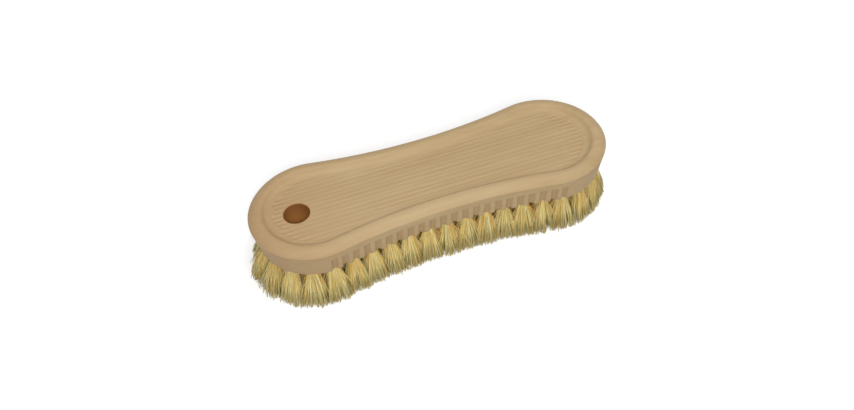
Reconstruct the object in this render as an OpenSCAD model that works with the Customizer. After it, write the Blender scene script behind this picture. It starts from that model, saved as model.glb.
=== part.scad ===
// Scrub brush: a waisted wooden block with a coved rim, a reeded panel, fluted
// sides and a hanging hole, filled with tufts of stiff plant fibre. Each tuft is
// folded over a wire staple that is driven into the wood at the end of its hole.
// The origin is on the standing plane, under the middle of the block. X runs
// along the block, with the hanging hole at -X, and Z is up.

/* [Block] */
// Length of the block, end to end
block_length = 200; // [190:1:225]
// Width across the round ends
end_width = 68.5; // [66:0.5:74]
// Width across the waist
waist_width = 55.7; // [53:0.1:62]
// Height of the sides, from the underside to the shoulder
side_height = 15.6; // [15.2:0.1:22]
// How far each side draws in towards the underside
side_taper = 2.65; // [1.5:0.05:3]
// Chamfer along the edge of the underside
arris = 0.5; // [0.2:0.1:0.9]

/* [Rim and panel] */
// Height of the rim's crest above the shoulder
rim_height = 3.1; // [2:0.1:4.5]
// Distance of the rim's crest in from the side
rim_inset = 5.8; // [4.5:0.1:7]
// Radius over the crest, where the rim turns down into the cove
crest_radius = 2.8; // [1:0.1:4]
// Distance of the panel's edge in from the side
panel_inset = 11.7; // [10.5:0.1:13]
// Height of the panel above the shoulder
panel_height = 0.1; // [-0.5:0.1:0.8]
// Spacing of the reeds that run along the panel
reed_pitch = 2.95; // [2.7:0.05:4]
// Width of the groove between two reeds
reed_groove_width = 2.5; // [1.5:0.1:2.6]
// Depth of the groove between two reeds
reed_groove_depth = 0.45; // [0.2:0.05:0.6]

/* [Fluted sides] */
// Number of flutes along each side
flute_count = 22; // [16:1:23]
// Spacing of the flutes along the block
flute_pitch = 6.08; // [5:0.02:6.3]
// Radius of the round cutter that makes a flute
flute_radius = 1.8; // [1.2:0.1:2.2]
// Depth of a flute below the surface of the side
flute_depth = 1.5; // [0.8:0.1:1.6]
// Distance of a flute's closed top below the shoulder
flute_top = 4.7; // [3:0.1:8]

/* [Hanging hole] */
// Diameter of the hanging hole
hanging_hole_diameter = 13.8; // [10:0.1:15]
// Distance of the hole's centre from the end of the block
hanging_hole_from_end = 25.3; // [22:0.1:28]

/* [Tufts] */
// Free length of the fibre below the block
fibre_length = 21.4; // [14:0.1:30]
// Number of tufts in the ring that follows the edge, a multiple of 4
edge_tufts = 40; // [36:4:40]
// Distance of the ring of tufts in from the shoulder of the block
edge_inset = 7.4; // [7.1:0.1:8.4]
// Number of crosswise rows that the block is filled in
row_count = 17; // [15:2:17]
// Diameter of the holes that the tufts are set in
tuft_hole_diameter = 5.2; // [4.4:0.1:5.6]
// Depth of those holes
tuft_hole_depth = 10.5; // [9:0.1:11.5]
// Clearance round the packed fibre in its hole
tuft_fit = 0.05; // [0.02:0.01:0.15]
// Least wood between the hanging hole and a tuft's hole
hanging_hole_wall = 1.7; // [1.5:0.1:4]

/* [Fibre strands] */
// Number of strands that each tuft parts into
tuft_strands = 5; // [3:1:6]
// Distance of the strands' tips from the middle of their tuft
tip_spread = 3; // [2.8:0.1:3.1]
// Half the width of a strand at its tip, measured over its corners
tip_half_width = 1.4; // [0.6:0.1:1.4]
// Outward lean of the outer tufts' tips along the sides
side_lean = 3; // [0:0.1:4]
// Outward lean of the outer tufts' tips at the two ends
end_lean = 5; // [3:0.1:7]
// How far the shortest tips stay above the standing plane
tip_ragged = 0.7; // [0:0.1:2]
// How much the level cut takes off the longest tips
tip_trim = 0.5; // [0.3:0.1:1]

/* [Staples] */
// Thickness of the staple wire
wire_diameter = 0.7; // [0.5:0.05:0.8]
// Distance between the two legs of a staple
staple_width = 3; // [2.4:0.1:3.4]
// Height of the fibre fold that a staple holds, above its bend
fold_height = 2.6; // [1.5:0.1:3.5]
// Depth of the legs in the wood past the end of the tuft's hole
leg_bite = 3.2; // [2:0.1:3.4]
// Clearance between the wire and what it runs through
wire_fit = 0.03; // [0.02:0.01:0.06]

/* [Hidden] */
end_radius = end_width / 2;
waist_half = waist_width / 2;
// The ends are arcs about (+-end_centre, 0), and the sides are arcs about
// (0, +-waist_centre) that touch them where the two centres' line crosses.
end_centre = block_length / 2 - end_radius;
waist_radius = (pow(end_centre, 2) + pow(waist_half, 2) - pow(end_radius, 2))
    / (2 * (end_radius - waist_half));
waist_centre = waist_half + waist_radius;
waist_turn = atan(end_centre / waist_centre);
end_turn = 90 + waist_turn;
blend_x = end_centre * waist_radius / (waist_radius + end_radius);

underside_z = fibre_length;
shoulder_z = underside_z + side_height;
panel_z = shoulder_z + panel_height;
flute_top_z = shoulder_z - flute_top;
hanging_hole_x = hanging_hole_from_end - block_length / 2;

// The shoulder is one arc up to the crest, and the crest and the cove are two
// arcs that run into each other.
shoulder_radius = (pow(rim_inset, 2) + pow(rim_height, 2)) / (2 * rim_height);
shoulder_turn = asin(rim_inset / shoulder_radius);
cove_run = panel_inset - rim_inset;
cove_drop = rim_height - panel_height;
ogee_radii = (pow(cove_run, 2) + pow(cove_drop, 2)) / (2 * cove_drop);
cove_radius = ogee_radii - crest_radius;
cove_turn = asin(cove_run / ogee_radii);
reed_cutter_radius = (pow(reed_groove_width / 2, 2) + pow(reed_groove_depth, 2))
    / (2 * reed_groove_depth);

// Cutters run past the surface that they break through by this much
overcut = 1;
// Steps on each arc of the rim's section
arc_steps = 5;
// Steps round an end of the outline, and round a flute
end_steps = 32;
flute_steps = 5;
// Flat left between the reeds' grooves and the foot of the cove
reed_margin = 0.4;
// Facets on small round parts
small_fn = 24;

wood_colour = [0.75, 0.65, 0.50];
fibre_colour = [0.80, 0.74, 0.52];
wire_colour = [0.62, 0.62, 0.64];

// A strand starts inside the packed root and leaves it through a short collar
collar_inset = 0.3;
collar_sink = 0.5;
collar_drop = 0.4;

ring_end_radius = end_radius - edge_inset;
ring_side_arc = (waist_radius + edge_inset) * waist_turn * PI / 180;
ring_end_arc = ring_end_radius * end_turn * PI / 180;
ring_quarter = ring_side_arc + ring_end_arc;
ring_step = 4 * ring_quarter / edge_tufts;
ring_reach = block_length / 2 - edge_inset;
row_pitch = 2 * ring_reach / row_count;
middle_row = (row_count + 1) / 2;
// An inner tuft keeps this share of a row's pitch away from the outer ring
inner_gap = 0.78;

// Half the width of the block at x, at a distance in from the shoulder
function half_width(x, inset) =
    abs(x) <= end_centre - (end_radius - inset) * sin(waist_turn)
        ? waist_centre - sqrt(pow(waist_radius + inset, 2) - x * x)
        : sqrt(max(0, pow(end_radius - inset, 2) - pow(abs(x) - end_centre, 2)));

// Direction that the side faces at x, in degrees from +Y towards +X
function side_facing(x) =
    abs(x) <= blend_x
        ? -asin(x / waist_radius)
        : sign(x) * asin((abs(x) - end_centre) / end_radius);

// Distance of a point in from the shoulder of the block
function inset_of(x, y) =
    atan2(abs(y), abs(x) - end_centre) < end_turn
        ? end_radius - norm([abs(x) - end_centre, y])
        : norm([x, waist_centre - abs(y)]) - waist_radius;

// Place and facing of a ring tuft in the first quarter, from its arc length
function quarter_point(s) =
    s <= ring_side_arc
        ? let (turn = s / (waist_radius + edge_inset) * 180 / PI)
            [(waist_radius + edge_inset) * sin(turn),
             waist_centre - (waist_radius + edge_inset) * cos(turn),
             90 + turn]
        : let (turn = end_turn - (s - ring_side_arc) / ring_end_radius * 180 / PI)
            [end_centre + ring_end_radius * cos(turn), ring_end_radius * sin(turn), turn];

// A tuft is its place and the lean of its tips, [x, y, lean_x, lean_y]. The ring's
// quarters mirror each other, and share the tufts that lie on the two axes.
edge_ring = [
    for (mx = [1, -1], my = [1, -1], i = [0 : edge_tufts / 4])
        let (
            p = quarter_point(i * ring_step),
            lean = side_lean + (end_lean - side_lean) * pow(p[0] / ring_reach, 4)
        )
        if ((i > 0 || mx > 0) && (i < edge_tufts / 4 || my > 0))
            [mx * p[0], my * p[1], mx * lean * cos(p[2]), my * lean * sin(p[2])]
];
inner_tufts = [
    for (row = [2 : row_count - 1])
        let (
            x = (row - middle_row) * row_pitch,
            reach = half_width(x, edge_inset),
            gaps = round(2 * reach / ring_step)
        )
        for (i = [1 : 1 : gaps - 1])
            let (y = reach * (2 * i / gaps - 1))
            if (inset_of(x, y) >= edge_inset + inner_gap * row_pitch)
                [x, y, 0, 0]
];
hanging_hole_keep = (hanging_hole_diameter + tuft_hole_diameter) / 2 + hanging_hole_wall;
tufts = [
    for (t = concat(edge_ring, inner_tufts))
        if (norm([t[0] - hanging_hole_x, t[1]]) >= hanging_hole_keep) t
];

function row_of(x) = min(row_count, max(1, floor((x + ring_reach) / row_pitch) + 1));
function row_name(kind, row) = str(kind, row < 10 ? "_row_0" : "_row_", row);

// Points of an arc in a section, with its angle measured from straight up
function arc(centre, radius, from, to, first = 0) = [
    for (i = [first : arc_steps])
        let (turn = from + (to - from) * i / arc_steps)
        centre + radius * [sin(turn), cos(turn)]
];

// Section of the block's edge, as distances in from the shoulder and heights. It
// starts below the underside, which is cut level afterwards.
edge_section = concat(
    [[side_taper + arris + overcut * (1 + side_taper / side_height), underside_z - overcut]],
    [[side_taper * (1 - arris / side_height), underside_z + arris]],
    [[side_taper * flute_top / side_height, flute_top_z]],
    arc([rim_inset, shoulder_z + rim_height - shoulder_radius], shoulder_radius, -shoulder_turn, 0),
    arc([rim_inset, shoulder_z + rim_height - crest_radius], crest_radius, 0, cove_turn, 1),
    arc([panel_inset, panel_z + cove_radius], cove_radius, 180 + cove_turn, 180, 1)
);

// A station is a point on the shoulder's outline with the direction it faces,
// [x, y, facing_x, facing_y]. Along the sides there is one on each land between
// two flutes, and a flute is hollowed into the flat between two stations.
side_steps = flute_count + 2 * max(0, ceil(blend_x / flute_pitch - flute_count / 2));
side_reach = side_steps * flute_pitch / 2;
end_sweep = acos((side_reach - end_centre) / end_radius);
stations = [
    for (half = [1, -1])
        each concat(
            [
                for (i = [1 : end_steps - 1])
                    let (turn = end_sweep * (2 * i / end_steps - 1))
                    half * [
                        end_centre + end_radius * cos(turn),
                        end_radius * sin(turn),
                        cos(turn),
                        sin(turn)
                    ]
            ],
            [
                for (i = [0 : side_steps])
                    let (
                        x = side_reach - i * flute_pitch,
                        facing = side_facing(x)
                    )
                    half * [x, half_width(x, 0), sin(facing), cos(facing)]
            ]
        )
];
half_count = end_steps + side_steps;
unfluted = (side_steps - flute_count) / 2;

// Whether a flute lies between a station and the next one
function fluted(i) =
    let (step = i % half_count - (end_steps - 1))
    step >= unfluted && step < unfluted + flute_count;

// The block's outline at a distance in from the shoulder
function outline(inset) = [for (s = stations) [s[0] - inset * s[2], s[1] - inset * s[3]]];

// A flute's section as [place along the side, depth], on an arc of its cutter
flute_turn = acos(1 - flute_depth / flute_radius);
flute_arc = [
    for (i = [0 : flute_steps])
        let (turn = flute_turn * (2 * i / flute_steps - 1))
        [flute_radius * sin(turn), flute_radius * (cos(turn) - 1) + flute_depth]
];

// The same outline with the flutes hollowed into it
function fluted_outline(inset) =
    let (plain = outline(inset))
    [
        for (i = [0 : len(plain) - 1])
            let (
                a = plain[i],
                b = plain[(i + 1) % len(plain)],
                along = (b - a) / norm(b - a),
                inward = [-along[1], along[0]]
            )
            each concat(
                [a],
                fluted(i) ? [for (p = flute_arc) (a + b) / 2 + p[0] * along + p[1] * inward] : []
            )
    ];

// Place of each station among the points of the fluted outline
fluted_place = [
    for (i = 0, place = 0; i < len(stations); place = place + (fluted(i) ? flute_steps + 2 : 1), i = i + 1)
        place
];

// The solid block: its edge section swept round the outline, with flat faces
// across the bottom and the panel. The flutes run up the lowest levels of the
// section, and their closed tops lie on the last of those levels.
module waisted_block() {
    low = [for (p = edge_section) if (p[1] <= flute_top_z) [for (q = fluted_outline(p[0])) [each q, p[1]]]];
    high = [for (p = edge_section) if (p[1] > flute_top_z) [for (q = outline(p[0])) [each q, p[1]]]];
    m = len(low[0]);
    n = len(high[0]);
    top_low = (len(low) - 1) * m;
    first_high = len(low) * m;
    polyhedron(
        points = concat([for (ring = low) each ring], [for (ring = high) each ring]),
        faces = concat(
            [[for (i = [0 : m - 1]) i]],
            [
                for (level = [0 : len(low) - 2], i = [0 : m - 1])
                    let (a = level * m, j = (i + 1) % m)
                    each [[a + m + i, a + m + j, a + j], [a + m + i, a + j, a + i]]
            ],
            [
                for (i = [0 : n - 1])
                    let (
                        j = (i + 1) % n,
                        upper = first_high + i,
                        lower = top_low + fluted_place[i],
                        next = top_low + fluted_place[j]
                    )
                    each concat(
                        [[upper, first_high + j, next]],
                        fluted(i)
                            ? [
                                [upper, next, lower + 1 + flute_steps],
                                [upper, lower + 1 + flute_steps, lower + 1],
                                [upper, lower + 1, lower]
                            ]
                            : [[upper, next, lower]],
                        fluted(i)
                            ? [for (k = [1 : flute_steps - 1]) [lower + 1, lower + k + 2, lower + k + 1]]
                            : []
                    )
            ],
            [
                for (level = [0 : len(high) - 2], i = [0 : n - 1])
                    let (a = first_high + level * n, j = (i + 1) % n)
                    each [[a + n + i, a + n + j, a + j], [a + n + i, a + j, a + i]]
            ],
            [[for (i = [n - 1 : -1 : 0]) first_high + (len(high) - 1) * n + i]]
        )
    );
}

// A groove from one x to another along the panel
module reed_groove(x, reach, y) {
    translate([x, y, panel_z + reed_cutter_radius - reed_groove_depth])
        rotate([0, 90, 0])
            cylinder(r = reed_cutter_radius, h = reach - x, $fn = 2 * small_fn);
}

// Round grooves along the panel that stop short of the cove. Those nearest to
// the sides are interrupted by the waist.
module reeding() {
    inset = panel_inset + reed_margin;
    grooves = 2 * floor((end_radius - inset - reed_groove_width / 2) / reed_pitch + 0.5);
    for (i = [0 : grooves - 1])
        let (
            y = (i - (grooves - 1) / 2) * reed_pitch,
            edge = abs(y) + reed_groove_width / 2,
            reach = end_centre + sqrt(pow(end_radius - inset, 2) - edge * edge)
        ) {
            if (edge < waist_half - inset) {
                reed_groove(-reach, reach, y);
            } else {
                start = sqrt(pow(waist_radius + inset, 2) - pow(waist_centre - edge, 2));
                reed_groove(start, reach, y);
                reed_groove(-reach, -start, y);
            }
        }
}

// What is cut off below the underside
module underside_cut() {
    translate([0, 0, underside_z - overcut])
        cube([block_length + 2 * overcut, end_width + 2 * overcut, 2 * overcut], center = true);
}

module hanging_hole() {
    translate([hanging_hole_x, 0, underside_z - overcut])
        cylinder(
            d = hanging_hole_diameter,
            h = side_height + rim_height + 2 * overcut,
            $fn = small_fn * 3
        );
}

// A staple in the place of one tuft: a round bend towards the tips, and two legs
// that run up beside the fold into the wood. Grow is the clearance round it.
module staple_wire(grow = 0) {
    wire_radius = wire_diameter / 2 + grow;
    translate([0, 0, tuft_hole_depth - fold_height]) {
        rotate([-90, 0, 0])
            rotate_extrude(angle = 180, $fn = small_fn)
                translate([staple_width / 2, 0])
                    circle(r = wire_radius, $fn = small_fn);
        for (side = [-1, 1])
            translate([side * staple_width / 2, 0, 0])
                cylinder(r = wire_radius, h = fold_height + leg_bite + grow, $fn = small_fn);
    }
}

// The hole for one tuft, with the marks that its staple's legs make in the wood
module tuft_seat() {
    translate([0, 0, -overcut])
        cylinder(d = tuft_hole_diameter, h = tuft_hole_depth + overcut, $fn = small_fn);
    for (side = [-1, 1])
        translate([side * staple_width / 2, 0, tuft_hole_depth - overcut])
            cylinder(
                r = wire_diameter / 2 + wire_fit,
                h = overcut + leg_bite + wire_fit,
                $fn = small_fn
            );
}

// The strands of one tuft, as one closed mesh. Below the collar each sector of
// the packed root becomes a four-sided strand that leans out to its own tip.
module strands(lean, seed) {
    n = tuft_strands;
    corners = 2 * n;
    turn = rands(0, 360, 1, seed)[0];
    rise = rands(-tip_trim, tip_ragged, n, seed + 1);
    root = [
        for (i = [0 : corners - 1])
            (tuft_hole_diameter / 2 - collar_inset) * [cos(turn + i * 180 / n), sin(turn + i * 180 / n)]
    ];
    tips = [
        for (k = [0 : n - 1], corner = [0 : 3])
            let (
                facing = turn + (2 * k + 1) * 180 / n,
                at = lean + tip_spread * [cos(facing), sin(facing)],
                aim = facing + 180 + 90 * corner
            )
            [each at + tip_half_width * [cos(aim), sin(aim)], max(0, rise[k]) - fibre_length]
    ];
    collar = corners;
    middle = 2 * corners;
    first_tip = middle + 1;
    polyhedron(
        points = concat(
            [for (p = root) [each p, collar_sink]],
            [for (p = root) [each p, -collar_drop]],
            [[0, 0, -collar_drop]],
            tips
        ),
        faces = concat(
            [for (i = [1 : corners - 2]) [0, i + 1, i]],
            [
                for (i = [0 : corners - 1])
                    let (j = (i + 1) % corners)
                    each [[i, j, collar + j], [i, collar + j, collar + i]]
            ],
            [
                for (k = [0 : n - 1])
                    let (
                        top = [
                            middle,
                            collar + 2 * k,
                            collar + 2 * k + 1,
                            collar + (2 * k + 2) % corners
                        ],
                        tip = [for (corner = [0 : 3]) first_tip + 4 * k + corner]
                    )
                    each concat(
                        [
                            for (a = [0 : 3])
                                let (b = (a + 1) % 4)
                                each [[top[a], top[b], tip[b]], [top[a], tip[b], tip[a]]]
                        ],
                        [[tip[0], tip[1], tip[2]], [tip[0], tip[2], tip[3]]]
                    )
            ]
        )
    );
}

// One tuft: its packed root in the hole, parted from the staple, and its strands
module tuft(lean, seed) {
    difference() {
        union() {
            cylinder(d = tuft_hole_diameter - 2 * tuft_fit, h = tuft_hole_depth, $fn = small_fn);
            strands(lean, seed);
        }
        staple_wire(wire_fit);
    }
}

module block() {
    color(wood_colour)
        difference() {
            difference() {
                waisted_block();
                underside_cut();
                hanging_hole();
            }
            reeding();
            for (t = tufts)
                translate([t[0], t[1], underside_z])
                    tuft_seat();
        }
}

module tuft_row(row) {
    color(fibre_colour)
        for (i = [0 : len(tufts) - 1])
            if (row_of(tufts[i][0]) == row)
                translate([tufts[i][0], tufts[i][1], underside_z])
                    tuft([tufts[i][2], tufts[i][3]], 2 * i);
}

module staple_row(row) {
    color(wire_colour)
        for (t = tufts)
            if (row_of(t[0]) == row)
                translate([t[0], t[1], underside_z])
                    staple_wire();
}

block();
for (row = [1 : row_count])
    tuft_row(row);
for (row = [1 : row_count])
    staple_row(row);
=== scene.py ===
import math

import bmesh
import bpy
import numpy as np
from mathutils import Matrix, Vector


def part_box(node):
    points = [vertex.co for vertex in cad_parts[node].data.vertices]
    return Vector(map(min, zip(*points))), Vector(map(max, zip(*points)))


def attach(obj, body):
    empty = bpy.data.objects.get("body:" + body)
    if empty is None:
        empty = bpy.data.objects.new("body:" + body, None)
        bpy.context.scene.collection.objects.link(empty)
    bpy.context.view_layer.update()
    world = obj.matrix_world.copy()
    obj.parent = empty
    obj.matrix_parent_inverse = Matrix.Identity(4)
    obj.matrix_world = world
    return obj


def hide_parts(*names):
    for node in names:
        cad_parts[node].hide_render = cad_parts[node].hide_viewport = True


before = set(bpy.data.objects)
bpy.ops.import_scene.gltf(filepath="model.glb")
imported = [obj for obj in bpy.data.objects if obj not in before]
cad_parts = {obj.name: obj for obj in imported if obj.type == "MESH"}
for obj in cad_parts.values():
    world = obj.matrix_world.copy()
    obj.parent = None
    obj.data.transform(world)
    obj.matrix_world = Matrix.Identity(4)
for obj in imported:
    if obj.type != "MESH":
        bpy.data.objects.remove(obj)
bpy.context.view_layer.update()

# A wooden scrub brush: one routed block and its tufts of plant fibre. Lengths are in metres.

blockLow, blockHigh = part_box("block")
undersideZ = blockLow.z
print("frame loaded:", len(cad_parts), "nodes")


# Meshes

def smoothStep(low, high, x):
    # 3t^2 - 2t^3, with t the share of the way from low to high
    t = np.clip((x - low) / (high - low), 0, 1)
    return t * t * (3 - 2 * t)


def ringQuads(rings, corners):
    # Faces between closed rings of corners that follow each other in the list of points
    row = np.arange(rings - 1)[:, None] * corners
    i = np.arange(corners)[None, :]
    j = (i + 1) % corners
    return np.stack([row + i, row + j, row + corners + j, row + corners + i], -1).reshape(-1, 4)


def newPiece(name, points, faces, material, uv):
    # One smooth mesh object at the origin. Faces are arrays with a row of corners for each face.
    mesh = bpy.data.meshes.new(name)
    loops = np.concatenate([f.ravel() for f in faces]).astype(np.int32)
    counts = np.concatenate([np.full(len(f), f.shape[1]) for f in faces])
    starts = np.concatenate([[0], np.cumsum(counts)[:-1]]).astype(np.int32)
    mesh.vertices.add(len(points))
    mesh.vertices.foreach_set("co", np.asarray(points, np.float32).ravel())
    mesh.loops.add(len(loops))
    mesh.loops.foreach_set("vertex_index", loops)
    mesh.polygons.add(len(starts))
    mesh.polygons.foreach_set("loop_start", starts)
    mesh.polygons.foreach_set("use_smooth", np.ones(len(starts), bool))
    layer = mesh.uv_layers.new(name="UVMap")
    layer.data.foreach_set("uv", np.asarray(uv, np.float32)[loops].ravel())
    mesh.update(calc_edges=True)
    mesh.validate()
    mesh.materials.append(material)
    piece = bpy.data.objects.new(name, mesh)
    bpy.context.collection.objects.link(piece)
    return piece


# Material nodes

def newMaterial(name):
    material = bpy.data.materials.new(name)
    material.use_nodes = True
    nodes = material.node_tree.nodes
    return material, nodes, material.node_tree.links, nodes["Principled BSDF"]


def addNode(nodes, kind, settings=None, inputs=None):
    node = nodes.new(kind)
    for key, value in (settings or {}).items():
        setattr(node, key, value)
    for key, value in (inputs or {}).items():
        node.inputs[key].default_value = value
    return node


def colourRamp(nodes, links, value, stops):
    ramp = nodes.new("ShaderNodeValToRGB")
    elements = ramp.color_ramp.elements
    while len(elements) < len(stops):
        elements.new(0.5)
    for element, (place, colour) in zip(elements, stops):
        element.position = place
        element.color = (*colour, 1)
    links.new(value, ramp.inputs[0])
    return ramp.outputs[0]


def splitAxes(nodes, links, vector):
    axes = nodes.new("ShaderNodeSeparateXYZ")
    links.new(vector, axes.inputs[0])
    return axes.outputs


def times(nodes, links, value, share):
    product = addNode(nodes, "ShaderNodeMath", {"operation": "MULTIPLY"}, {1: share})
    links.new(value, product.inputs[0])
    return product.outputs[0]


def weightedSum(nodes, links, first, firstShare, second, secondShare):
    total = addNode(nodes, "ShaderNodeMath", {"operation": "MULTIPLY_ADD"}, {1: firstShare})
    links.new(first, total.inputs[0])
    links.new(times(nodes, links, second, secondShare), total.inputs[2])
    return total.outputs[0]


def mapRange(nodes, links, value, fromLow, fromHigh, toLow, toHigh):
    # A straight run from one pair of values to another, held at its ends
    node = addNode(nodes, "ShaderNodeMapRange", {"clamp": True},
                   {1: fromLow, 2: fromHigh, 3: toLow, 4: toHigh})
    links.new(value, node.inputs[0])
    return node.outputs[0]


def mixColour(nodes, links, factor, first, second):
    mix = addNode(nodes, "ShaderNodeMix", {"data_type": "RGBA"})
    links.new(factor, mix.inputs[0])
    for socket, value in ((mix.inputs[6], first), (mix.inputs[7], second)):
        if isinstance(value, tuple):
            socket.default_value = (*value, 1)
        else:
            links.new(value, socket)
    return mix.outputs[2]


def streakGroup():
    # Long fine streaks: noise squeezed along one axis of the coordinates it is given
    group = bpy.data.node_groups.new("plantStreaks", "ShaderNodeTree")
    sockets = group.interface
    sockets.new_socket("Vector", in_out="INPUT", socket_type="NodeSocketVector")
    sockets.new_socket("Stretch", in_out="INPUT", socket_type="NodeSocketVector")
    sockets.new_socket("Streaks", in_out="OUTPUT", socket_type="NodeSocketFloat")
    nodes, links = group.nodes, group.links
    start, end = nodes.new("NodeGroupInput"), nodes.new("NodeGroupOutput")
    stretch = addNode(nodes, "ShaderNodeVectorMath", {"operation": "MULTIPLY"})
    noise = addNode(nodes, "ShaderNodeTexNoise", inputs={"Scale": 1.0, "Detail": 5, "Roughness": 0.62})
    links.new(start.outputs["Vector"], stretch.inputs[0])
    links.new(start.outputs["Stretch"], stretch.inputs[1])
    links.new(stretch.outputs[0], noise.inputs["Vector"])
    links.new(noise.outputs["Fac"], end.inputs["Streaks"])
    return group


plantStreaks = streakGroup()


def addStreaks(nodes, links, vector, stretch):
    node = addNode(nodes, "ShaderNodeGroup", {"node_tree": plantStreaks}, {"Stretch": stretch})
    links.new(vector, node.inputs["Vector"])
    return node.outputs["Streaks"]


# Block

block = {
    "endWidth": 0.0685,
    "waistWidth": 0.0557,
    "sideHeight": 0.0156,
    "sideTaper": 0.00265,   # how far a side draws in towards the underside
    "arris": 0.0007,        # rounding along the lowest edge
    "rimHeight": 0.0031,
    "rimInset": 0.0058,
    "crestRadius": 0.0028,
    "panelInset": 0.0117,
    "panelHeight": 0.0001,
    "holeRadius": 0.0069,
    "holeFromEnd": 0.0253,
    "holeEase": 0.0004,     # broken edge round the mouth of the hole
    "borePast": 0.002,      # how far the hole's cutter reaches past the wood
    "sharpAngle": 38,       # degrees, past which an edge of the bored block isn't smooth
    "weld": 0.000001,
    "perFlute": 14,         # points along the edge for each flute
    "perEnd": 110,          # and round each end
    "perArris": 5,          # points up the edge, for each stretch of its section
    "perShoulder": 11,
    "perCrest": 8,          # for the crest, and again for the cove
    "perPanel": 54,         # rows from the foot of the cove to the long axis
    "holeSides": 72,
    "rowsBelow": 7,         # rows of points below the flutes' closed ends, and above them
    "rowsAbove": 4,
    "firstRow": 0.0016,     # height of the lowest of them
    "lastRow": 0.0005,      # and distance of the highest from the shoulder
}
flute = {
    "count": 22,
    "pitch": 0.00608,
    "radius": 0.0018,
    "depth": 0.0015,
    "top": 0.0047,          # closed end, below the shoulder
    "ease": 0.00010,        # softness of the lands' edges
    "endEase": 0.00008,     # softness of the closed end
    "outerSlope": 3,        # how fast the cutter's edge leaves the side, outside the flute
    "clearBelow": 0.0010,   # where the even rows of points stop, on both sides of the closed end
    "clearAbove": 0.0014,
    "rowsRound": (-0.00055, -0.00025, -0.00012, -0.00004, 0.00003, 0.00010, 0.0002, 0.0005),
}
reed = {
    "pitch": 0.00295,
    "depth": 0.00015,
    "endDepth": 0.00040,    # more at the ends, where the cutter tears the wood
    "tornFrom": 0.001,      # the extra depth fades between these distances from the cove
    "tornTo": 0.009,
    "crisp": 0.8,           # below 1, the ridges are narrower than the grooves
    "raggedLeft": 0.0034,   # how unevenly the grooves stop at the hole's end
    "raggedRight": 0.0010,
    "runOut": 0.0006,       # length over which a groove ends
    "margin": 0.0001,
    "teeth": 64,            # uneven ends, used over again past this many grooves
    "seed": 11,
}
beechLook = {
    "pale": (0.520, 0.380, 0.208),
    "mid": (0.482, 0.343, 0.180),
    "deep": (0.440, 0.304, 0.150),
    "toneStops": (0.36, 0.50, 0.64),    # streaks' values that give the deep, mid and pale wood
    "grain": (30, 420, 420),            # how closely the streaks repeat along X, Y and Z
    "grainShare": 0.45,
    "broad": (9, 55, 55),
    "broadShare": 0.55,
    "flecks": (330, 2600, 2600),
    "pore": (0.350, 0.215, 0.092),
    "poreFrom": 0.60,       # flecks' values where a pore begins, and where it is full
    "poreFull": 0.72,
    "poreShare": 0.38,
    "cut": (0.410, 0.255, 0.125),   # painted shade: a browner wood colour, for the flutes, the reeds' grooves and the hole's end
    # painted shade in the flutes, by their depth, over a browner tone of the faces the cutter left
    "fluteShadeShare": 0.45,
    # painted shade in the reeds' grooves, by their depth
    "reedShadeShare": 0.40,
    "heelShadeShare": 0.60,      # and painted shade towards the hole's end, from heelFrom to heelTo along X
    "heelFrom": -0.040,
    "heelTo": -0.100,
    # the hole's wall, from the panel down to the underside: burnt orange wood, painted lighter deeper down
    # against the hole's shade
    "boredTop": (0.270, 0.100, 0.020),
    "boredDeep": (0.600, 0.260, 0.060),
    "boredShare": 0.92,
    "boredFrom": 0.00005,   # the wall's colour begins this far outside the mouth of the hole
    "boredFull": 0.0001,    # and is full this far outside its wall
    "roughness": 0.62,
    "gloss": 0.30,
    "grainBump": 0.22,
    "bumpHeight": 0.0002,
}

blockLength = blockHigh.x - blockLow.x
endRadius = block["endWidth"] / 2
waistHalf = block["waistWidth"] / 2
endCentre = blockLength / 2 - endRadius
waistRadius = (endCentre ** 2 + waistHalf ** 2 - endRadius ** 2) / (2 * (endRadius - waistHalf))
waistCentre = waistHalf + waistRadius
waistTurn = math.atan(endCentre / waistCentre)
blendX = endCentre * waistRadius / (waistRadius + endRadius)
shoulderZ = undersideZ + block["sideHeight"]
panelZ = shoulderZ + block["panelHeight"]
holeX = block["holeFromEnd"] - blockLength / 2
fluteReach = flute["count"] * flute["pitch"] / 2


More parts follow.
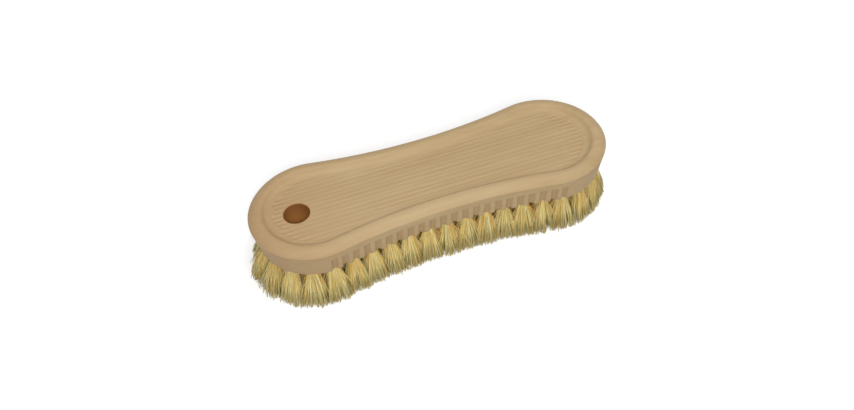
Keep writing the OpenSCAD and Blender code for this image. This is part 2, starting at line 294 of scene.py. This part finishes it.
def beechMaterial():
    # Raw sanded beech: pale tan with lengthwise streaks, short dark pores, and painted shade: browner in
    # the flutes, whose faces the cutter left browner too, in the reeds' grooves and towards the hole's end
    look = beechLook
    material, nodes, links, shader = newMaterial("rawBeech")
    place = nodes.new("ShaderNodeTexCoord").outputs["Object"]
    axes = splitAxes(nodes, links, place)
    grain = addStreaks(nodes, links, place, look["grain"])
    broad = addStreaks(nodes, links, place, look["broad"])
    bands = weightedSum(nodes, links, grain, look["grainShare"], broad, look["broadShare"])
    stops = list(zip(look["toneStops"], (look["deep"], look["mid"], look["pale"])))
    tone = colourRamp(nodes, links, bands, stops)
    flecks = addStreaks(nodes, links, place, look["flecks"])
    stops = [(look["poreFrom"], (0, 0, 0)), (look["poreFull"], (1, 1, 1))]
    pores = colourRamp(nodes, links, flecks, stops)
    colour = mixColour(nodes, links, times(nodes, links, pores, look["poreShare"]), tone, look["pore"])
    # Painted shade, darker towards the hole's end
    heelShade = mapRange(nodes, links, axes[0], look["heelFrom"], look["heelTo"], 0, look["heelShadeShare"])
    colour = mixColour(nodes, links, heelShade, colour, look["cut"])
    # The UV map carries how deep a point lies in a flute, and in a reed's groove: the deeper, the more
    # painted shade
    cuts = splitAxes(nodes, links, nodes.new("ShaderNodeUVMap").outputs[0])
    for depth, share in ((cuts[0], look["fluteShadeShare"]), (cuts[1], look["reedShadeShare"])):
        colour = mixColour(nodes, links, times(nodes, links, depth, share), colour, look["cut"])
    # The bored wall of the hanging hole, by its distance from the hole's axis: burnt orange wood, with
    # part of its orange painted in for light bounced round the hole
    flat = addNode(nodes, "ShaderNodeVectorMath", {"operation": "MULTIPLY"}, {1: (1, 1, 0)})
    fromHole = addNode(nodes, "ShaderNodeVectorMath", {"operation": "DISTANCE"}, {1: (holeX, 0, 0)})
    links.new(place, flat.inputs[0])
    links.new(flat.outputs[0], fromHole.inputs[0])
    mouth = block["holeRadius"] + block["holeEase"]
    bored = mapRange(nodes, links, fromHole.outputs["Value"], mouth + look["boredFrom"],
                     block["holeRadius"] + look["boredFull"], 0, look["boredShare"])
    # Painted light: lighter towards the underside, against the hole's shade
    deep = mapRange(nodes, links, axes[2], shoulderZ, undersideZ, 0, 1)
    wall = mixColour(nodes, links, deep, look["boredTop"], look["boredDeep"])
    colour = mixColour(nodes, links, bored, colour, wall)
    links.new(colour, shader.inputs["Base Color"])
    shader.inputs["Roughness"].default_value = look["roughness"]
    shader.inputs["Specular IOR Level"].default_value = look["gloss"]
    bump = addNode(nodes, "ShaderNodeBump",
                   inputs={"Strength": look["grainBump"], "Distance": look["bumpHeight"]})
    links.new(flecks, bump.inputs["Height"])
    links.new(bump.outputs[0], shader.inputs["Normal"])
    return material


def halfWidth(x, inset):
    # Distance of the outline from the long axis: an arc of the waist, or of a round end
    x = np.abs(np.asarray(x, float))
    seam = endCentre - (endRadius - inset) * math.sin(waistTurn)
    waist = waistCentre - np.sqrt((waistRadius + inset) ** 2 - np.minimum(x, seam) ** 2)
    end = np.sqrt(np.maximum((endRadius - inset) ** 2 - (x - endCentre) ** 2, 0))
    return np.where(x <= seam, waist, end)


def outlineStations():
    # Points round the shoulder with their facings. Sides are spaced evenly in x, as the
    # flutes are, and ends evenly in angle. Offsetting a point along its facing gives any inset.
    x = np.linspace(fluteReach, -fluteReach, flute["count"] * block["perFlute"] + 1)
    facing = np.where(np.abs(x) <= blendX, -np.arcsin(x / waistRadius),
                      np.sign(x) * np.arcsin((np.abs(x) - endCentre) / endRadius))
    side = np.c_[x, halfWidth(x, 0), np.sin(facing), np.cos(facing)]
    sweep = math.acos((fluteReach - endCentre) / endRadius)
    turn = np.linspace(-sweep, sweep, block["perEnd"] + 2)[1:-1]
    end = np.c_[endCentre + endRadius * np.cos(turn), endRadius * np.sin(turn), np.cos(turn), np.sin(turn)]
    half = np.vstack([end, side])
    onSide = np.r_[np.zeros(len(end), bool), np.ones(len(side), bool)]
    return np.vstack([half, -half]), np.r_[onSide, onSide]


def edgeSection():
    # [inset, height] up the edge: rounded arris, sloping side, shoulder arc, crest and cove.
    # The side's rows crowd round the closed ends of the flutes.
    height, taper, arris = block["sideHeight"], block["sideTaper"], block["arris"]
    rimInset, rimHeight, crestRadius = block["rimInset"], block["rimHeight"], block["crestRadius"]
    t = np.linspace(0, math.pi / 2, block["perArris"])
    lowest = np.c_[taper + arris * (1 - np.sin(t)), undersideZ + arris * (1 - np.cos(t))]
    top = height - flute["top"]
    below = np.linspace(block["firstRow"], top - flute["clearBelow"], block["rowsBelow"])
    above = np.linspace(top + flute["clearAbove"], height - block["lastRow"], block["rowsAbove"])
    rows = np.r_[below, top + np.array(flute["rowsRound"]), above]
    side = np.c_[taper * (1 - rows / height), undersideZ + rows]
    shoulder = (rimInset ** 2 + rimHeight ** 2) / (2 * rimHeight)
    turn = np.linspace(-math.asin(rimInset / shoulder), 0, block["perShoulder"])
    shoulderArc = np.c_[rimInset + shoulder * np.sin(turn),
                        shoulderZ + rimHeight - shoulder + shoulder * np.cos(turn)]
    # The crest and the cove are two arcs that meet at a common tangent
    run, drop = block["panelInset"] - rimInset, rimHeight - block["panelHeight"]
    radii = (run ** 2 + drop ** 2) / (2 * drop)
    turn = np.linspace(0, math.asin(run / radii), block["perCrest"])[1:]
    crest = np.c_[rimInset + crestRadius * np.sin(turn),
                  shoulderZ + rimHeight - crestRadius * (1 - np.cos(turn))]
    coveRadius = radii - crestRadius
    turn = turn[::-1][1:]
    cove = np.c_[block["panelInset"] - coveRadius * np.sin(turn), panelZ + coveRadius * (1 - np.cos(turn))]
    return np.vstack([lowest, side, shoulderArc, crest, cove, [[block["panelInset"], panelZ]]])


def fluteDepth(along, height):
    # Depth of the flutes below the side: an arc across each flute, closed at its top, with
    # the arc's edges and its closed end eased. Outside the arc it goes on as a slope, which
    # the easing takes to nothing.
    s = np.abs((along / flute["pitch"] - 0.5 * (flute["count"] % 2 == 0)) % 1.0)
    s = np.minimum(s, 1 - s) * flute["pitch"]
    r = flute["radius"]
    arc = np.where(s < r, np.sqrt(np.maximum(r * r - s * s, 0)), (r - s) * flute["outerSlope"])
    arc = arc - (r - flute["depth"])
    eased = (arc + np.sqrt(arc ** 2 + flute["ease"] ** 2)) / 2
    closed = 1 - smoothStep(-flute["endEase"], flute["endEase"], height - (shoulderZ - flute["top"]))
    return eased * closed


def reedDepth(x, y):
    # Depth of the reeding: a wave across the panel, ended by an uneven tooth at each groove
    wave = (0.5 - 0.5 * np.cos(2 * math.pi * y / reed["pitch"])) ** reed["crisp"]
    groove = np.floor(y / reed["pitch"]).astype(int)
    teeth = np.random.default_rng(reed["seed"]).random((2, reed["teeth"]))
    leftTooth, rightTooth = teeth[:, groove % reed["teeth"]]
    ragged = np.where(x < 0, reed["raggedLeft"] * leftTooth, reed["raggedRight"] * rightTooth)
    panelEnd = endRadius - block["panelInset"]
    left = endCentre + np.sqrt(np.maximum(panelEnd ** 2 - y ** 2, 0)) - np.abs(x)
    fromSide = halfWidth(x, block["panelInset"] + reed["margin"]) - np.abs(y)
    atEnd = smoothStep(0.0, reed["runOut"], left - reed["margin"] - ragged)
    atSide = smoothStep(0.0, reed["runOut"], fromSide)
    torn = 1 - smoothStep(reed["tornFrom"], reed["tornTo"], left)
    return (reed["depth"] + reed["endDepth"] * torn) * wave * atEnd * atSide


def makeBlock(beech):
    # The edge section is carried round the outline, and flutes move its points inwards
    stations, onSide = outlineStations()
    section = edgeSection()
    around, inner = len(stations), block["perPanel"]
    insets, heights = section[:, :1], section[:, 1:]
    fluted = onSide & (np.abs(stations[:, 0]) < fluteReach)
    depth = np.where(fluted, fluteDepth(stations[None, :, 0], heights), 0)
    inward = insets + depth
    x = stations[:, 0] - inward * stations[:, 2]
    y = stations[:, 1] - inward * stations[:, 3]
    edge = np.stack([x, y, np.broadcast_to(heights, x.shape)], -1)
    edgeCut = np.stack([depth / flute["depth"], np.zeros_like(depth)], -1)
    # The panel: straight lines from the foot of the cove to the long axis
    axisReach = np.abs(x[-1][onSide]).max()
    axisX = np.clip(x[-1], -axisReach, axisReach)
    t = (np.arange(1, inner + 1) / inner)[:, None]
    panelX = x[-1] + (axisX - x[-1]) * t
    panelY = y[-1] * (1 - t)
    groove = reedDepth(panelX, panelY)
    panel = np.stack([panelX, panelY, panelZ - groove], -1)
    panelCut = np.stack([np.zeros_like(groove), groove / (reed["depth"] + reed["endDepth"])], -1)
    points = np.concatenate([edge, panel]).reshape(-1, 3)
    uv = np.concatenate([edgeCut, panelCut]).reshape(-1, 2)
    underside = np.arange(around - 1, -1, -1)[None, :]
    faces = [ringQuads(len(section) + inner, around), underside]
    piece = newPiece("block_body", points, faces, beech, uv)
    closePanel(piece)
    boreHole(piece, beech)
    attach(piece, "root")
    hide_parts("block")


def closePanel(piece):
    # Joins the two halves of the panel along the axis
    bm = bmesh.new()
    bm.from_mesh(piece.data)
    bmesh.ops.remove_doubles(bm, verts=bm.verts, dist=block["weld"])
    bmesh.ops.recalc_face_normals(bm, faces=bm.faces)
    bm.to_mesh(piece.data)
    bm.free()


def boreHole(piece, beech):
    # Cuts the hanging hole with a spool: a cylinder that widens past both of its mouths
    sides, past = block["holeSides"], block["borePast"]
    r, ease = block["holeRadius"], block["holeEase"]
    radii = np.array([r + past, r, r, r + ease + past])
    z = np.array([undersideZ - past, undersideZ + ease, panelZ - ease, panelZ + past])
    turn = np.arange(sides) * 2 * math.pi / sides
    points = np.stack([holeX + radii[:, None] * np.cos(turn), radii[:, None] * np.sin(turn),
                       np.broadcast_to(z[:, None], (len(z), sides))], -1).reshape(-1, 3)
    caps = np.stack([np.arange(sides - 1, -1, -1), (len(z) - 1) * sides + np.arange(sides)])
    faces = [ringQuads(len(z), sides), caps]
    cutter = newPiece("hole_cutter", points, faces, beech, np.zeros((len(points), 2)))
    bore = piece.modifiers.new("bore", "BOOLEAN")
    bore.object, bore.operation, bore.solver = cutter, "DIFFERENCE", "EXACT"
    bpy.context.view_layer.update()
    solid = bpy.data.meshes.new_from_object(piece.evaluated_get(bpy.context.evaluated_depsgraph_get()))
    piece.modifiers.clear()
    piece.data = solid
    solid.set_sharp_from_angle(angle=math.radians(block["sharpAngle"]))
    bpy.data.objects.remove(cutter)


makeBlock(beechMaterial())
print("block made")


# Tufts

tuft = {
    "edgeCount": 40,
    "edgeInset": 0.0074,
    "rows": 17,
    "holeRadius": 0.0026,
    "holeWall": 0.0017,     # least wood between the hanging hole and a tuft
    "innerGap": 0.78,       # least distance of the inner tufts from the ring, in row pitches
}
fibre = {
    "perTuft": 350,
    "radius": 0.00022,
    "thinnest": 0.7,        # share of the radius that the thinnest fibre has
    "thicker": 0.6,         # and what the thickest has over it
    "taper": 0.12,
    "bow": 0.00022,
    "packing": 0.94,        # share of the hole's radius that the roots fill
    "tipSpread": 0.0072,    # how far a ring tuft's tips spread each way, along the block's edge
    "tipAcross": 0.0044,    # and across the edge
    "innerSpread": 0.0080,  # the same both ways, for the tufts inside the ring
    "square": 0.75,         # 0: the tips fill an ellipse, 1: a rectangle
    "scatter": 0.0008,      # how far a tip strays from its place, along the edge
    "scatterAcross": 0.0003,
    "locks": 9,             # clumps that a tuft's tips gather into
    "lockReach": 0.95,      # share of the spread that the clumps lie within
    "gather": 0.22,         # share of the way that a tip is drawn to its clump
    "sideLean": 0.0036,     # how far the ring's tips lean outwards, at the sides and the ends
    "farEndLean": 0.0042,
    "holeEndLean": 0.0080,
    "leanPower": 4,         # the higher, the nearer the end the lean changes
    "leanLeast": 0.75,      # share of its tuft's lean that a fibre has at least
    "leanMore": 0.5,
    "strays": 0.12,         # share of the fibres that stray further along the edge
    "strayScatter": 0.0030,
    "strayShort": 0.001,
    "bend": 0.6,            # below 1, the strays leave their tuft early
    "straightness": 0.95,   # the same for all the others
    "sunk": 0.0015,         # length of each fibre kept inside the wood
    "halfWay": 0.5,         # where a fibre has its middle ring of corners
    "ragged": 0.0005,
    "ringShort": 0.002,     # how much shorter a fibre of the ring is at most
    "shortPower": 4,        # the higher, the fewer they are
    "offFloor": 0.00002,
    "seed": 100,
}
fibreLook = {
    "straw": (0.80, 0.56, 0.16),
    "cream": (0.88, 0.73, 0.28),
    "pale": (0.93, 0.84, 0.44),
    "toneStops": (0.22, 0.50, 0.82),
    "streaks": (90, 7, 1),
    "streakShare": 0.45,
    "ownShare": 0.62,       # share of each fibre's own number in its tone
    # painted shade near the roots: an orange like light bounced between the fibres in the gaps between the
    # tufts
    "root": (0.92, 0.47, 0.06),
    "rootShadeShare": 0.80,
    "rootShadeEnd": 0.30,        # the painted root shade is gone where the UV map's second number is this
    "ringStart": 0.16,      # that number at the root of the ring's fibres
    "innerTip": 0.30,       # at the tip of the others
    "strayTip": 0.45,       # and at most at the tip of a stray
    "roughness": 0.5,
    "gloss": 0.35,
}


def fibreMaterial():
    # Stiff plant fibre. The UV map carries a number for each fibre, and one that grows along it.
    look = fibreLook
    material, nodes, links, shader = newMaterial("tampicoFibre")
    uv = nodes.new("ShaderNodeUVMap").outputs[0]
    own, along = splitAxes(nodes, links, uv)[:2]
    streaks = addStreaks(nodes, links, uv, look["streaks"])
    bands = weightedSum(nodes, links, streaks, look["streakShare"], own, look["ownShare"])
    stops = list(zip(look["toneStops"], (look["straw"], look["cream"], look["pale"])))
    tone = colourRamp(nodes, links, bands, stops)
    # Painted shade: towards the root the colour turns orange, as light bounced deep between the tufts
    # would make it
    rootShade = mapRange(nodes, links, along, look["rootShadeEnd"], 0, 0, look["rootShadeShare"])
    colour = mixColour(nodes, links, rootShade, tone, look["root"])
    links.new(colour, shader.inputs["Base Color"])
    shader.inputs["Roughness"].default_value = look["roughness"]
    shader.inputs["Specular IOR Level"].default_value = look["gloss"]
    return material


def ringPlaces(inset, step, sideArc):
    # A quarter of a line that follows the edge, with a tuft at each step along it, mirrored
    # three times. Lean points along the facing, and grows towards the ends.
    s = np.arange(tuft["edgeCount"] // 4 + 1) * step
    sideRadius, roundRadius = waistRadius + inset, endRadius - inset
    sideTurn = s / sideRadius
    endTurn = math.pi / 2 + waistTurn - (s - sideArc) / roundRadius
    side = np.c_[sideRadius * np.sin(sideTurn), waistCentre - sideRadius * np.cos(sideTurn),
                 math.pi / 2 + sideTurn]
    end = np.c_[endCentre + roundRadius * np.cos(endTurn), roundRadius * np.sin(endTurn), endTurn]
    x, y, facing = np.where((s <= sideArc)[:, None], side, end).T
    endShare = (x / (blockLength / 2 - inset)) ** fibre["leanPower"]
    ring = []
    for mirrorX, endLean in ((1, fibre["farEndLean"]), (-1, fibre["holeEndLean"])):
        lean = fibre["sideLean"] + (endLean - fibre["sideLean"]) * endShare
        for mirrorY in (1, -1):
            # A mirrored quarter leaves out the tufts that lie on the mirror
            first, last = (0 if mirrorX > 0 else 1), (len(s) if mirrorY > 0 else len(s) - 1)
            ring.append(np.c_[mirrorX * x, mirrorY * y, mirrorX * lean * np.cos(facing),
                              mirrorY * lean * np.sin(facing)][first:last])
    return ring


def tuftPlaces():
    # [x, y, leanX, leanY]: a ring that follows the edge, spaced evenly along it, then
    # crosswise rows inside it, without those that the hanging hole takes
    inset = tuft["edgeInset"]
    sideArc = (waistRadius + inset) * waistTurn
    endArc = (endRadius - inset) * (math.pi / 2 + waistTurn)
    step = 4 * (sideArc + endArc) / tuft["edgeCount"]
    reach = blockLength / 2 - inset
    pitch = 2 * reach / tuft["rows"]
    inner = []
    for row in range(1, tuft["rows"] - 1):
        x = (row - (tuft["rows"] - 1) / 2) * pitch
        width = float(halfWidth(x, inset))
        gaps = int(math.floor(2 * width / step + 0.5))
        y = width * (2 * np.arange(1, gaps) / gaps - 1)
        fromEnd = endRadius - np.hypot(abs(x) - endCentre, y)
        fromSide = np.hypot(x, waistCentre - np.abs(y)) - waistRadius
        atEnd = np.arctan2(np.abs(y), abs(x) - endCentre) < math.pi / 2 + waistTurn
        keep = np.where(atEnd, fromEnd, fromSide) >= inset + tuft["innerGap"] * pitch
        inner.append(np.c_[np.full(len(y), x), y, np.zeros((len(y), 2))][keep])
    places = np.vstack(ringPlaces(inset, step, sideArc) + inner)
    clear = block["holeRadius"] + tuft["holeRadius"] + tuft["holeWall"]
    places = places[np.hypot(places[:, 0] - holeX, places[:, 1]) >= clear]
    rowOf = np.clip(np.floor((places[:, 0] + reach) / pitch), 0, tuft["rows"] - 1).astype(int)
    return places, rowOf


def fibreEnds(places, rng):
    # A packed root for each fibre, and its tip, which lies outwards from the root by the
    # spread, is drawn to one of the tuft's locks, and follows the tuft's lean
    count = fibre["perTuft"]
    total = count * len(places)
    own = np.repeat(np.arange(len(places)), count)
    centre, lean = places[own, :2], places[own, 2:]
    packed = tuft["holeRadius"] * fibre["packing"]
    radius = packed * np.sqrt(rng.random(total))
    angle = rng.random(total) * 2 * math.pi
    root = np.c_[radius * np.cos(angle), radius * np.sin(angle)]
    # Shares of the spread, across the edge and along it, with the disc drawn out to a square
    leanLength = np.linalg.norm(lean, axis=1)[:, None]
    onRing = leanLength > 0
    outwards = np.where(onRing, lean / np.maximum(leanLength, 1e-9), (1.0, 0.0))
    along = np.c_[-outwards[:, 1], outwards[:, 0]]
    share = np.c_[(root * outwards).sum(axis=1), (root * along).sum(axis=1)] / packed
    corner = np.linalg.norm(share, axis=1) / np.maximum(np.abs(share).max(axis=1), 1e-9)
    share = share * corner[:, None] ** fibre["square"]
    locks = rng.uniform(-fibre["lockReach"], fibre["lockReach"], (len(places), fibre["locks"], 2))
    nearest = np.argmin(np.linalg.norm(locks[own] - share[:, None, :], axis=-1), axis=1)
    share = share + (locks[own, nearest] - share) * fibre["gather"]
    stray = rng.random(total) < fibre["strays"]
    spread = np.where(onRing, (fibre["tipAcross"], fibre["tipSpread"]), (fibre["innerSpread"],) * 2)
    share = share * spread + rng.normal(0, 1, (total, 2)) * (fibre["scatterAcross"], fibre["scatter"])
    share[:, 1] += np.where(stray, rng.normal(0, fibre["strayScatter"], total), 0)
    tip = outwards * share[:, :1] + along * share[:, 1:]
    tip = tip + lean * (fibre["leanLeast"] + fibre["leanMore"] * rng.random((total, 1)))
    height = np.abs(rng.normal(0, fibre["ragged"], total))
    height = np.where(stray, height + rng.random(total) * fibre["strayShort"], height)
    short = rng.random(total) ** fibre["shortPower"] * fibre["ringShort"]
    height = height + np.where(onRing[:, 0], short, 0)
    return centre + root, tip - root, height, stray, onRing


def makeFibres(name, places, seed, tampico):
    # Each fibre is a row of rings of three corners, and bows a little between its ends
    rng = np.random.default_rng(seed)
    root, reach, height, stray, onRing = fibreEnds(places, rng)
    total = len(root)
    top = undersideZ + fibre["sunk"]
    mouth = fibre["sunk"] / top
    t = np.array([0, mouth, fibre["halfWay"], 1.0])
    z = top + (height[:, None] - top) * t
    power = np.where(stray, fibre["bend"], fibre["straightness"])[:, None]
    past = (np.maximum(t - mouth, 0) / (1 - mouth))[None, :] ** power
    bow = rng.normal(0, fibre["bow"], (total, 1, 2)) * np.sin(math.pi * t)[None, :, None]
    middle = root[:, None] + reach[:, None] * past[:, :, None] + bow
    size = fibre["thinnest"] + fibre["thicker"] * rng.random((total, 1))
    thick = fibre["radius"] * size * (1 - fibre["taper"] * t)
    turn = rng.random((total, 1, 1)) * 2 * math.pi + np.arange(3)[None, None] * 2 * math.pi / 3
    corners = middle[:, :, None] + thick[:, :, None, None] * np.stack(
        np.broadcast_arrays(np.cos(turn), np.sin(turn)), -1)
    points = np.concatenate([corners, np.broadcast_to(z[:, :, None, None], (*corners.shape[:3], 1))], -1)
    points[..., 2] = np.maximum(points[..., 2], fibre["offFloor"])
    # The strays and the tufts inside the ring keep the painted root shade further down
    down = np.where(onRing, fibreLook["ringStart"] + t[None, :], fibreLook["innerTip"] * t[None, :] ** 2)
    down = np.where(stray[:, None], np.minimum(down, fibreLook["strayTip"] * t[None, :]), down)
    ownNumber = rng.random((total, 1, 1))
    uv = np.stack(np.broadcast_arrays(ownNumber, down[:, :, None], np.zeros((1, 1, 3)))[:2], -1)
    # The rings run downwards, so the faces between them are turned over to look outwards
    start = np.arange(total)[:, None] * len(t) * 3
    strand = ringQuads(len(t), 3)[:, [0, 3, 2, 1]]
    quads = (start[:, :, None] + strand).reshape(-1, 4)
    last = start + (len(t) - 1) * 3
    caps = np.concatenate([start + np.array([[0, 1, 2]]), last + np.array([[0, 2, 1]])])
    return newPiece(name, points.reshape(-1, 3), [quads, caps], tampico, uv.reshape(-1, 2))


tampico = fibreMaterial()
places, rowOf = tuftPlaces()
for row in range(tuft["rows"]):
    piece = makeFibres("fibre_row_%02d" % (row + 1), places[rowOf == row], fibre["seed"] + row, tampico)
    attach(piece, "root")
    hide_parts("tuft_row_%02d" % (row + 1))
print("fibres made:", len(places), "tufts")


# Staples, which keep their CAD shapes

wireLook = {
    "dull": (0.42, 0.42, 0.44),
    "bright": (0.66, 0.66, 0.68),
    "toneStops": (0.3, 0.7),
    "streaks": (3000, 3000, 300),
    "roughness": 0.34,
}


def wireMaterial():
    # Drawn steel wire, slightly streaked along its length
    material, nodes, links, shader = newMaterial("stapleWire")
    place = nodes.new("ShaderNodeTexCoord").outputs["Object"]
    streaks = addStreaks(nodes, links, place, wireLook["streaks"])
    stops = list(zip(wireLook["toneStops"], (wireLook["dull"], wireLook["bright"])))
    tone = colourRamp(nodes, links, streaks, stops)
    links.new(tone, shader.inputs["Base Color"])
    shader.inputs["Metallic"].default_value = 1.0
    shader.inputs["Roughness"].default_value = wireLook["roughness"]
    return material


wire = wireMaterial()
for row in range(tuft["rows"]):
    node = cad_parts["staple_row_%02d" % (row + 1)]
    for place in range(len(node.data.materials)):
        node.data.materials[place] = wire
print("staples finished")


# Floor, light and camera

studio = {
    "sky": 0.32,            # strength of the world's light on the brush
    "bounce": 0.70,         # the floor's colour as a source of light from below
    "seen": 0.90,           # the floor's colour to the camera
    "glow": 0.26,           # what is added to it near the brush
    "fadeFrom": 0.13,       # the floor fades to white between these distances
    "fadeTo": 0.34,
    "roughness": 0.9,
    "halfSize": 4.0,
    "aim": (0, 0, 0.02),
    "lamps": {              # place, diameter and power
        "key": ((0.16, -0.24, 1.45), 0.6, 8.2),
        "fill": ((-0.10, -0.40, 0.42), 0.12, 1.4),
    },
}
view = {
    "azimuth": -16.3715,
    "elevation": 45.3210,
    "roll": -4.6643,
    "distance": 0.45210,
    "focalShare": 840.1285 / 854,   # of the picture's width, as the shifts are
    "shiftX": -4.4343 / 854,
    "shiftY": -31.4514 / 854,
    "sensor": 36,           # millimetres
    "nearest": 0.01,
    "farthest": 50,
}


def areaLight(name, place, size, power):
    lamp = bpy.data.lights.new(name, "AREA")
    lamp.shape, lamp.size, lamp.energy = "DISK", size, power
    light = bpy.data.objects.new(name, lamp)
    light.location = place
    light.rotation_mode = "QUATERNION"
    light.rotation_quaternion = (Vector(studio["aim"]) - light.location).to_track_quat("-Z", "Y")
    bpy.context.collection.objects.link(light)


def straightRays(nodes, links):
    # 1 for what the camera sees, straight or by reflection or through glass, and 0 for the rest
    rays = nodes.new("ShaderNodeLightPath")
    reflected = addNode(nodes, "ShaderNodeMath", {"operation": "MAXIMUM"})
    either = addNode(nodes, "ShaderNodeMath", {"operation": "MAXIMUM"})
    links.new(rays.outputs["Is Glossy Ray"], reflected.inputs[0])
    links.new(rays.outputs["Is Transmission Ray"], reflected.inputs[1])
    links.new(rays.outputs["Is Camera Ray"], either.inputs[0])
    links.new(reflected.outputs[0], either.inputs[1])
    return either.outputs[0]


def floorMaterial():
    # The floor shows the camera white, with the brush's shadow on it, and throws less light
    # back up than it shows. Away from the brush it fades into the white background.
    material, nodes, links, shader = newMaterial("paleFloor")
    seen = straightRays(nodes, links)
    shade = mixColour(nodes, links, seen, (studio["bounce"],) * 3, (studio["seen"],) * 3)
    links.new(shade, shader.inputs["Base Color"])
    shader.inputs["Roughness"].default_value = studio["roughness"]
    shader.inputs["Specular IOR Level"].default_value = 0.0
    far = addNode(nodes, "ShaderNodeVectorMath", {"operation": "LENGTH"})
    links.new(nodes.new("ShaderNodeTexCoord").outputs["Object"], far.inputs[0])
    fade = mapRange(nodes, links, far.outputs["Value"], studio["fadeFrom"], studio["fadeTo"],
                    studio["glow"], 1)
    glow = addNode(nodes, "ShaderNodeMath", {"operation": "MULTIPLY"})
    links.new(seen, glow.inputs[0])
    links.new(fade, glow.inputs[1])
    shader.inputs["Emission Color"].default_value = (1, 1, 1, 1)
    links.new(glow.outputs[0], shader.inputs["Emission Strength"])
    return material


def makeStage():
    half = studio["halfSize"]
    corners = [(-half, -half, 0), (half, -half, 0), (half, half, 0), (-half, half, 0)]
    mesh = bpy.data.meshes.new("floor")
    mesh.from_pydata(corners, [], [(0, 1, 2, 3)])
    mesh.materials.append(floorMaterial())
    floor = bpy.data.objects.new("floor", mesh)
    bpy.context.collection.objects.link(floor)
    world = bpy.context.scene.world or bpy.data.worlds.new("studio")
    bpy.context.scene.world = world
    world.use_nodes = True
    nodes, links = world.node_tree.nodes, world.node_tree.links
    background = nodes["Background"]
    background.inputs["Color"].default_value = (1, 1, 1, 1)
    strength = mapRange(nodes, links, straightRays(nodes, links), 0, 1, studio["sky"], 1)
    links.new(strength, background.inputs["Strength"])
    for name, (place, size, power) in studio["lamps"].items():
        areaLight(name, place, size, power)


def makeCamera():
    # Stands back from the shoulder's middle along the view direction, rolled a little
    azimuth, elevation, roll = (math.radians(view[k]) for k in ("azimuth", "elevation", "roll"))
    level = math.cos(elevation)
    back = Vector((math.sin(azimuth) * level, -math.cos(azimuth) * level, math.sin(elevation)))
    right = Vector((math.cos(azimuth), math.sin(azimuth), 0))
    up = back.cross(right)
    turnedRight = right * math.cos(roll) + up * math.sin(roll)
    turnedUp = up * math.cos(roll) - right * math.sin(roll)
    lens = bpy.data.cameras.new("camera")
    lens.sensor_width = view["sensor"]
    lens.lens = lens.sensor_width * view["focalShare"]
    lens.shift_x, lens.shift_y = view["shiftX"], view["shiftY"]
    lens.clip_start, lens.clip_end = view["nearest"], view["farthest"]
    camera = bpy.data.objects.new("camera", lens)
    bpy.context.collection.objects.link(camera)
    matrix = Matrix((turnedRight, turnedUp, back)).transposed().to_4x4()
    matrix.translation = Vector((0, 0, shoulderZ)) + back * view["distance"]
    camera.matrix_world = matrix
    bpy.context.scene.camera = camera


makeStage()
makeCamera()
bpy.context.scene.view_settings.view_transform = "Standard"
print("stage and camera made")
